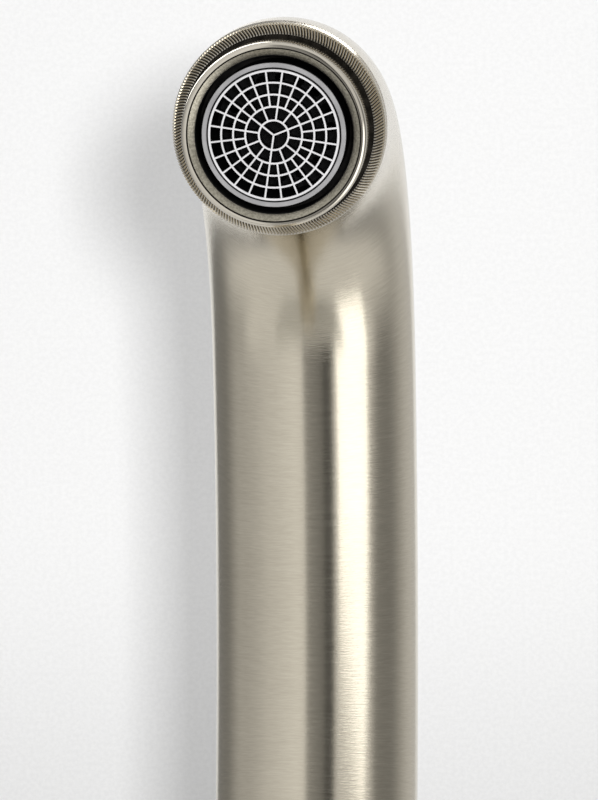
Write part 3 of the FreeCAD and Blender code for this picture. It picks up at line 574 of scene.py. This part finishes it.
for count, inner, outer in spoke_rows:
    spoke = net.node("GeometryNodeCurvePrimitiveLine", Start=net.vector(X=inner), End=net.vector(X=outer))[0]
    spoke = net.node("GeometryNodeSetCurveNormal", {"mode": "Z_UP"}, Curve=spoke)[0]
    spoke = net.node("GeometryNodeCurveToMesh", Curve=spoke, Profile_Curve=spoke_section, Fill_Caps=True)[0]
    bars.append(net.round_the_axis(spoke, count, net.given["Turn"], SPOKE_SET_BACK))
bar_curve = straight_curve("net_bar_outline", bar_outline, closed=True)
outlet_net = net.apply("outlet_net", bar_curve, net.join_smooth(bars), cage_plastic)
outlet_net.data.transform(Matrix.Translation((0, -REACH, cage_low.z)))
outlet_net.data.set_sharp_from_angle(angle=SHELL_CREASE)
for piece in (cage, outlet_net):
    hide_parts("aerator_cage")
    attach(piece, "spout")
black_plastic = moulded_plastic("black_jet_plastic", JET_DARK, JET_LIGHT)
dress("aerator_jet_plate", black_plastic)
dress("aerator_strainer", black_plastic)
dress("aerator_washer", black_rubber)

# AERATOR HOUSING
# A turned brass shell screws into the tube. Its grip has a rolled slanted knurl, its nose is polished
# bright and ends in a rounded lip; a turned line parts the lip from the satin chamfer round the mouth.
SCREW_R = 0.01195
SCREW_LENGTH = 0.006
BORE_R = 0.0106
GRIP_R = 0.014
GRIP_HEIGHT = 0.0024
BEVEL_R = 0.01285
BEVEL_END = 0.0035
GROOVE_R = 0.0117
GROOVE_END = 0.0040
NOSE_R = 0.0121
NOSE_LENGTH = 0.0094
LIP_R = 0.0007
LIP_STEPS = 10
LINE_WIDTH = 0.00020
LINE_DEPTH = 0.00016
MOUTH_R = 0.0103
MOUTH_LEVEL = 0.0086
SHOULDER_R = 0.0094
SHOULDER_FRONT = 0.0030
SHOULDER_BACK = 0.0015
EDGE_BREAK = 0.00008
TEETH = 208
TOOTH_SLANT = math.radians(27)
TOOTH_DEPTH = 0.00030
TOOTH_FADE = 0.9
TOOTH_SHADOW = 0.4
TOOTH_FLAT = 0.15
TOOTH_FOOT = 0.56
GRIP_ROWS = 3
POLISH_DARK = (0.645, 0.60, 0.515)
POLISH_LIGHT = (0.69, 0.645, 0.555)
MOUTH_SHADE_BLACKS = ((0.008, 0.008, 0.008), (0.02, 0.019, 0.018))
SATIN_DARK = (0.36, 0.335, 0.265)
SATIN_LIGHT = (0.56, 0.525, 0.43)
GROOVE_SHADE_DARK = (0.020, 0.018, 0.015)
GROOVE_SHADE_LIGHT = (0.05, 0.045, 0.037)
LATHE_LINES = (90.0, 90.0, 7000.0)
EVEN_GRAIN = (500.0, 500.0, 500.0)


def polished_nickel(name, lines_along):
    """Nickel polished on the lathe: bright, with faint turning lines."""
    material, here = start_finish(name)
    fine = here.stretch(lines_along).noise(1.0, 2.0)
    haze = here.noise(70.0, 2.0)
    return close_finish(
        material, (fine, 1.2e-5, 0.3), Base_Color=haze.between(0.3, 0.7).mix(POLISH_DARK, POLISH_LIGHT),
        Roughness=0.07 + fine * 0.06 + haze * 0.03, Metallic=1.0)


root_r = GRIP_R - TOOTH_DEPTH
line_out = NOSE_R - LIP_R
line_in = line_out - LINE_WIDTH
chamfer_slope = (NOSE_LENGTH - MOUTH_LEVEL) / (line_out - MOUTH_R)
lip_level = NOSE_LENGTH - LIP_R
lip_angles = [math.pi / 2 * k / LIP_STEPS for k in range(LIP_STEPS + 1)]
shell_outline = [
    (BORE_R, -SCREW_LENGTH), (SCREW_R, -SCREW_LENGTH), (SCREW_R, 0), (root_r, 0), (root_r, GRIP_HEIGHT),
    (BEVEL_R - TOOTH_DEPTH * TOOTH_SHADOW, BEVEL_END - EDGE_BREAK), (BEVEL_R - TOOTH_DEPTH, BEVEL_END),
    (GROOVE_R, BEVEL_END), (GROOVE_R, GROOVE_END), (NOSE_R - EDGE_BREAK, GROOVE_END),
    (NOSE_R, GROOVE_END + EDGE_BREAK)]
shell_outline += [
    (line_out + LIP_R * math.cos(angle), lip_level + LIP_R * math.sin(angle)) for angle in lip_angles]
shell_outline += [
    (line_out, NOSE_LENGTH - LINE_DEPTH), (line_in, NOSE_LENGTH - LINE_DEPTH - EDGE_BREAK),
    (line_in, NOSE_LENGTH - LINE_WIDTH * chamfer_slope), (MOUTH_R + EDGE_BREAK, MOUTH_LEVEL),
    (MOUTH_R, MOUTH_LEVEL - EDGE_BREAK), (MOUTH_R, SHOULDER_FRONT), (SHOULDER_R, SHOULDER_FRONT),
    (SHOULDER_R, SHOULDER_BACK), (BORE_R, SHOULDER_BACK)]
shell = turned_shell("aerator_shell", shell_outline)

bright_nose = polished_nickel("polished_nose_nickel", LATHE_LINES)
satin, here = start_finish("satin_chamfer_nickel")
grain = here.noise(3200.0, 3.0, 0.6)
close_finish(
    satin, (grain, 4e-5, 0.6), Base_Color=grain.between(0.35, 0.65).mix(SATIN_DARK, SATIN_LIGHT),
    Roughness=0.30 + grain * 0.15, Metallic=1.0)
# The inside of the mouth is near black: painted shade in the deep gap between the nose and the cage.
mouth_shade, here = start_finish("mouth_painted_shade")
shade_mottle = here.noise(700.0, 3.0)
close_finish(
    mouth_shade, (shade_mottle, 2e-5, 0.3), Base_Color=shade_mottle.between(0.3, 0.7).mix(*MOUTH_SHADE_BLACKS),
    Roughness=0.6 + shade_mottle * 0.2, Specular_IOR_Level=0.2)
# The groove above the nose, the knurl's root between the teeth and the turned line are near black: painted
# shade in these hollows.
groove_shade, here = start_finish("groove_painted_shade")
shade_mottle = here.noise(900.0, 3.0)
close_finish(
    groove_shade, (shade_mottle, 2e-5, 0.3), Base_Color=shade_mottle.between(0.3, 0.7).mix(GROOVE_SHADE_DARK, GROOVE_SHADE_LIGHT),
    Roughness=0.5 + shade_mottle * 0.2, Metallic=1.0)
finishes = [bright_nose, satin, mouth_shade, groove_shade]
for finish in finishes:
    shell.data.materials.append(finish)
# The mouth, the turned line, the groove and the knurl's root get the painted shade finishes, and the chamfer
# gets satin.
for face in shell.data.polygons:
    level = OUTLET_Z - face.center.z
    radius = math.hypot(face.center.x, face.center.y + REACH)
    in_line = line_in - EDGE_BREAK / 2 < radius < line_out + EDGE_BREAK / 2
    if 0 < level < MOUTH_LEVEL and radius < MOUTH_R + EDGE_BREAK:
        face.material_index = finishes.index(mouth_shade)
    elif in_line and level < NOSE_LENGTH - EDGE_BREAK / 2:
        face.material_index = finishes.index(groove_shade)
    elif level >= MOUTH_LEVEL - EDGE_BREAK and radius < line_in:
        face.material_index = finishes.index(satin)
    elif 0 < level < GROOVE_END and radius > GROOVE_R - EDGE_BREAK:
        face.material_index = finishes.index(groove_shade)

# One tooth follows the grip and its bevel; the knurl is a ring of its copies.
tooth_rows = [(GRIP_HEIGHT * k / GRIP_ROWS, GRIP_R, 1.0) for k in range(GRIP_ROWS + 1)]
tooth_rows += [((GRIP_HEIGHT + BEVEL_END) / 2, (GRIP_R + BEVEL_R) / 2, 1.0), (BEVEL_END, BEVEL_R, TOOTH_FADE)]
tooth_points = []
for level, crest, share in tooth_rows:
    lean = math.tan(TOOTH_SLANT) * level / GRIP_R
    valley = crest - TOOTH_DEPTH * share
    corners = [
        (-TOOTH_FOOT, valley), (-TOOTH_FLAT, crest), (TOOTH_FLAT, crest), (TOOTH_FOOT, valley),
        (0.0, valley - TOOTH_DEPTH)]
    for side, r in corners:
        angle = lean + side * math.pi / TEETH
        tooth_points.append((r * math.cos(angle), r * math.sin(angle), -level))
around = len(corners)
tooth_faces = []
for first in range(0, len(tooth_points) - around, around):
    for j in range(around):
        n = (j + 1) % around
        tooth_faces.append((first + j, first + around + j, first + around + n, first + n))
tooth_faces.append(tuple(range(around)))
tooth_faces.append(tuple(reversed(range(len(tooth_points) - around, len(tooth_points)))))
tooth = bpy.data.meshes.new("knurl_tooth")
tooth.from_pydata(tooth_points, [], tooth_faces)
knurl = Steps("rolled_knurl", Teeth=TEETH)
row = knurl.round_the_axis(knurl.given["Geometry"], knurl.given["Teeth"])
grip = knurl.apply("knurled_grip", tooth, row, polished_nickel("rolled_knurl_nickel", EVEN_GRAIN))
grip.data.transform(Matrix.Translation((0, -REACH, OUTLET_Z)))
for piece in (shell, grip):
    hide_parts("aerator_housing")
    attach(piece, "spout")

# CERAMIC CARTRIDGE
# Sealed in the head: a moulded base with three port seals, two lapped ceramic discs, the follower that
# slides the upper one, a housing and its brass nut, and the turret that the steel stem rocks in.
CARTRIDGE_DARK = (0.70, 0.70, 0.68)
CARTRIDGE_LIGHT = (0.78, 0.78, 0.76)
CERAMIC_DARK = (0.74, 0.72, 0.68)
CERAMIC_LIGHT = (0.82, 0.80, 0.76)
BRASS_CLEAN = (0.80, 0.58, 0.24)
BRASS_TARNISHED = (0.60, 0.42, 0.19)
BRASS_LINES = (120.0, 120.0, 4200.0)
DRAWN_ALONG_Z = (1500.0, 1500.0, 70.0)
DRAWN_ALONG_X = (70.0, 1500.0, 1500.0)
cartridge_plastic = moulded_plastic("cartridge_plastic", CARTRIDGE_DARK, CARTRIDGE_LIGHT)
ceramic, here = start_finish("lapped_ceramic")
speck = here.noise(2400.0, 3.0, 0.6)
firing = here.noise(140.0, 2.0)
close_finish(
    ceramic, (speck, 6e-6, 0.25), Base_Color=firing.between(0.3, 0.7).mix(CERAMIC_DARK, CERAMIC_LIGHT),
    Roughness=0.16 + speck * 0.1, Coat_Weight=0.15)
brass, here = start_finish("turned_brass")
lathe_lines = here.stretch(BRASS_LINES).noise(1.0, 3.0, 0.6)
tarnish = here.noise(120.0, 4.0, 0.6)
close_finish(
    brass, (lathe_lines, 3e-5, 0.4), Base_Color=tarnish.between(0.35, 0.7).mix(BRASS_CLEAN, BRASS_TARNISHED),
    Roughness=0.2 + lathe_lines * 0.18, Metallic=1.0)
for node in ("cartridge_base", "cartridge_housing", "disc_carrier", "mixing_carrier"):
    dress(node, cartridge_plastic)
for node in ("cold_port_seal", "hot_port_seal", "outlet_port_seal"):
    dress(node, greased_rubber)
for node in ("ceramic_fixed_disc", "ceramic_moving_disc"):
    dress(node, ceramic)
dress("cartridge_nut", brass)
drawn_steel = zinc_steel("drawn_steel", DRAWN_ALONG_Z)
dress("lever_stem", drawn_steel)
dress("pivot_pin", zinc_steel("drawn_pin_steel", DRAWN_ALONG_X))

# DOME AND LEVER
# The dome is spun brass, polished bright; the lever is a zinc casting, brushed lengthwise on a belt.
# A grub screw locks it on the stem, behind a plastic button that is half red and half blue.
DOME_LINES = (90.0, 90.0, 6500.0)
LEVER_LINES = (4300.0, 75.0, 4300.0)
BUTTON_SEAM = 0.0001
BUTTON_REDS = ((0.42, 0.018, 0.014), (0.52, 0.026, 0.02))
BUTTON_BLUES = ((0.012, 0.05, 0.34), (0.02, 0.075, 0.44))
dress("dome_cover", polished_nickel("polished_dome_nickel", DOME_LINES))
dress("lever_handle", brushed_nickel("lever_brushed_nickel", LEVER_LINES))
dress("grub_screw", drawn_steel)
button, here = start_finish("hot_cold_button")
side = here.axis("X").between(-BUTTON_SEAM, BUTTON_SEAM)
mottle = here.noise(700.0, 2.0)
red_and_blue = side.mix(mottle.mix(*BUTTON_REDS), mottle.mix(*BUTTON_BLUES))
close_finish(
    button, (mottle, 8e-6, 0.3), Base_Color=red_and_blue, Roughness=0.25 + mottle * 0.1, Coat_Weight=0.3)
dress("indicator_plug", button)

# STUDIO
# A plain pale slab stands for the worktop, and ends behind the spout's end, as at a sink. A white card
# hangs over the spout, as the backdrop for a view from below. Soft lamps and a room of plain grey panels
# light the tap, and the camera looks up at the outlet.
WORKTOP_T = 0.040
LEFT, RIGHT, FRONT, BACK = -0.15, 0.15, -0.045, 0.20
WORKTOP_GREYS = ((0.60, 0.60, 0.595), (0.66, 0.66, 0.655))
CARD_LEFT, CARD_RIGHT, CARD_FRONT, CARD_BACK = -0.13, 0.09, -0.32, 0.0
CARD_Z = 0.34
CARD_SHADE_START, CARD_SHADE_END = -0.129, -0.060
CARD_FRONT_GREYS = ((0.765, 0.765, 0.765), (0.805, 0.805, 0.805))
CARD_BACK_GREYS = ((0.635, 0.635, 0.635), (0.675, 0.675, 0.675))


def stage_piece(name, points, faces, material):
    """A plain mesh of the studio, which isn't part of the tap."""
    mesh = bpy.data.meshes.new(name)
    mesh.from_pydata(points, [], faces)
    mesh.materials.append(material)
    piece = bpy.data.objects.new(name, mesh)
    bpy.context.scene.collection.objects.link(piece)
    return piece


pale_top, here = start_finish("pale_worktop")
fleck = here.noise(900.0, 3.0, 0.6)
close_finish(pale_top, Base_Color=fleck.between(0.3, 0.7).mix(*WORKTOP_GREYS), Roughness=0.62)
plan = [(LEFT, FRONT), (RIGHT, FRONT), (RIGHT, BACK), (LEFT, BACK)]
slab_points = [(x, y, z) for z in (-WORKTOP_T, 0.0) for x, y in plan]
slab_faces = [(3, 2, 1, 0), (4, 5, 6, 7), (0, 1, 5, 4), (1, 2, 6, 5), (2, 3, 7, 6), (3, 0, 4, 7)]
stage_piece("worktop", slab_points, slab_faces, pale_top)

# The card shows only from below: from above it is clear, so that it never hides the tap. It is a little
# darker at the back, above the body: painted shade.
card_white, here = start_finish("white_card")
fibre = here.noise(1400.0, 3.0, 0.6)
front_grey = fibre.between(0.3, 0.7).mix(*CARD_FRONT_GREYS)
back_grey = fibre.between(0.3, 0.7).mix(*CARD_BACK_GREYS)
card_shade = here.axis("Y").between(CARD_SHADE_START, CARD_SHADE_END)
close_finish(card_white, Base_Color=card_shade.mix(front_grey, back_grey), Roughness=0.8)
card_nodes = card_white.node_tree.nodes
paper = card_nodes["Principled BSDF"].outputs["BSDF"]
from_above = here.node("NewGeometry", None, "Backfacing")
one_sided = here.node("MixShader", None, 0, i0=from_above, i1=paper, i2=here.node("BsdfTransparent"))
feed(card_white.node_tree, card_nodes["Material Output"].inputs["Surface"], one_sided)
card_points = [
    (CARD_LEFT, CARD_FRONT, CARD_Z), (CARD_LEFT, CARD_BACK, CARD_Z), (CARD_RIGHT, CARD_BACK, CARD_Z),
    (CARD_RIGHT, CARD_FRONT, CARD_Z)]
card = stage_piece("white_card", card_points, [(0, 1, 2, 3)], card_white)
card.visible_shadow = False


def grey(level):
    return (level, level, level)


# The room, by the direction from the tap: panels below it from left to right, plain sides above them,
# and a pale room in front and behind. A span is where one grey passes into the next.
PANELS = [
    (0.0, 0.50), (0.10, 0.68), (0.35, 0.90), (0.42, 0.88), (0.455, 0.34), (0.60, 0.22), (0.64, 0.08),
    (0.695, 0.08), (0.725, 0.72), (0.955, 0.72), (0.985, 0.25), (1.0, 0.25)]
PANELS_SPAN = (-0.22, 0.0)
SIDES_SPAN = (-0.15, 0.15)
LEFT_SPAN, LEFT_LOW, LEFT_HIGH = (0.0, 0.5), 0.5, 0.24
RIGHT_SPAN, RIGHT_LOW, RIGHT_HIGH = (0.1, 0.75), 0.24, 0.62
FAR_SPAN, FAR_LOW, FAR_HIGH = (0.35, 0.7), 0.78, 0.36
CORNER_SPAN, CORNER_RISE, CORNER_GREY = (0.4, 0.95), (-0.15, 0.05), 0.42
STEEP_SPAN = (-0.6, -0.35)
DEEP_SPAN = (0.28, 0.55)
DEEP_SPAN_STEEP = (0.78, 0.90)
room = bpy.data.worlds.new("studio_room")
room.use_nodes = True
bpy.context.scene.world = room
outward = Tone(room.node_tree.nodes.new("ShaderNodeTexCoord").outputs["Generated"])
across = outward.axis("X")
up = outward.axis("Z")
deep = outward.axis("Y")
deep = deep.reckon("ABSOLUTE", deep)
panel_stops = {"stops": [(place, grey(level)) for place, level in PANELS]}
panels_below = across.node("ValToRGB", panel_stops, 0, Fac=across * 0.5 + 0.5)
right_side = up.between(*RIGHT_SPAN).mix(grey(RIGHT_LOW), grey(RIGHT_HIGH))
left_side = up.between(*LEFT_SPAN).mix(grey(LEFT_LOW), grey(LEFT_HIGH))
sides_above = across.between(*SIDES_SPAN).mix(left_side, right_side)
room_beside = up.between(*PANELS_SPAN).mix(panels_below, sides_above)
far_corners = (across ** 2).between(*CORNER_SPAN) * up.between(*CORNER_RISE)
far_low = far_corners.mix(grey(FAR_LOW), grey(CORNER_GREY))
far_room = up.between(*FAR_SPAN).mix(far_low, grey(FAR_HIGH))
steep = 1.0 - up.between(*STEEP_SPAN)
deep_start, deep_end = [
    level + steep * (steep_level - level) for level, steep_level in zip(DEEP_SPAN, DEEP_SPAN_STEEP)]
room_light = deep.between(deep_start, deep_end).mix(room_beside, far_room)
feed(room.node_tree, room.node_tree.nodes["Background"].inputs["Color"], room_light)

TUBE_MIDDLE = (0, -0.18, 0.14)
BODY_MIDDLE = (0, -0.08, 0.05)
RIGHT_ENDS = ((0.406, -0.203, -0.267), (0.323, 0.273, -0.017))
RIGHT_WIDTH = 0.33
RIGHT_STRENGTH = 1.3
TOP_ENDS = ((-0.95, -0.70, 0.95), (-0.15, -0.70, 1.2))
TOP_WIDTH = 0.8
TOP_STRENGTH = 5.0
LOW_ENDS = ((0.125, -0.37, -0.68), (0.125, -0.32, -0.68))
LOW_WIDTH = 0.05
LOW_STRENGTH = 250.0
CARD_STRENGTH = 450.0


def soft_lamp(name, ends, width, target, strength):
    """A strip lamp between two ends that faces its target. Strength is its brightness as seen; 1 is white."""
    first, last = Vector(ends[0]), Vector(ends[1])
    middle = (first + last) / 2
    away = (middle - Vector(target)).normalized()
    run = last - first
    run -= run.dot(away) * away
    lamp = bpy.data.lights.new(name, "AREA")
    lamp.shape = "RECTANGLE"
    lamp.size, lamp.size_y = width, run.length
    lamp.energy = strength * math.pi * width * run.length
    run.normalize()
    holder = bpy.data.objects.new(name, lamp)
    turned = Matrix((run.cross(away), run, away)).transposed()
    holder.matrix_world = Matrix.Translation(middle) @ turned.to_4x4()
    holder.visible_camera = False
    bpy.context.scene.collection.objects.link(holder)
    return holder


# The low lamps are small, for the tap's shadow on the card. One of them lights the card alone, so that
# the card is white while the tap stays at a plain level.
soft_lamp("right_softbox", RIGHT_ENDS, RIGHT_WIDTH, TUBE_MIDDLE, RIGHT_STRENGTH)
soft_lamp("top_softbox", TOP_ENDS, TOP_WIDTH, BODY_MIDDLE, TOP_STRENGTH)
low_fill = soft_lamp("low_fill", LOW_ENDS, LOW_WIDTH, TUBE_MIDDLE, LOW_STRENGTH)
card_lamp = soft_lamp("card_lamp", LOW_ENDS, LOW_WIDTH, TUBE_MIDDLE, CARD_STRENGTH)
for lamp in (low_fill, card_lamp):
    lamp.visible_glossy = False
backdrop = bpy.data.collections.new("backdrop")
backdrop.objects.link(card)
card_lamp.light_linking.receiver_collection = backdrop

# The camera sees the front of the grip at GRIP_PIXEL, from DISTANCE, with the tap's Z axis along LEAN,
# whose parts are rightwards, downwards and forwards in the picture.
PIXELS_WIDE, PIXELS_HIGH = 598, 800
PIXELS_PER_METRE = 7674.33
GRIP_PIXEL = (278.86, 129.14)
DISTANCE = 0.800
LEAN = Vector((0.09773, -0.16116, 1.0)).normalized()
ROLL = -0.00053
SENSOR = 36.0
grip_front = Vector((0, -REACH, OUTLET_Z - GRIP_HEIGHT))
tap_z = LEAN
tap_y = Vector((math.sin(ROLL), math.cos(ROLL), 0.0))
tap_y = (tap_y - tap_y.dot(tap_z) * tap_z).normalized()
tap_x = tap_y.cross(tap_z)
right, down, forward = [Vector((tap_x[k], tap_y[k], tap_z[k])) for k in range(3)]
aside = (GRIP_PIXEL[0] - PIXELS_WIDE / 2) / PIXELS_PER_METRE
below = (GRIP_PIXEL[1] - PIXELS_HIGH / 2) / PIXELS_PER_METRE
eye = grip_front - right * aside - down * below - forward * DISTANCE
lens = bpy.data.cameras.new("photo_view")
lens.sensor_width = SENSOR
lens.lens = PIXELS_PER_METRE * DISTANCE * SENSOR / PIXELS_HIGH
lens.clip_start, lens.clip_end = 0.01, 50.0
camera = bpy.data.objects.new("photo_view", lens)
axes = Matrix((right, -down, -forward)).transposed()
camera.matrix_world = Matrix.Translation(eye) @ axes.to_4x4()
bpy.context.scene.collection.objects.link(camera)
bpy.context.scene.camera = camera
bpy.context.scene.view_settings.view_transform = "Standard"
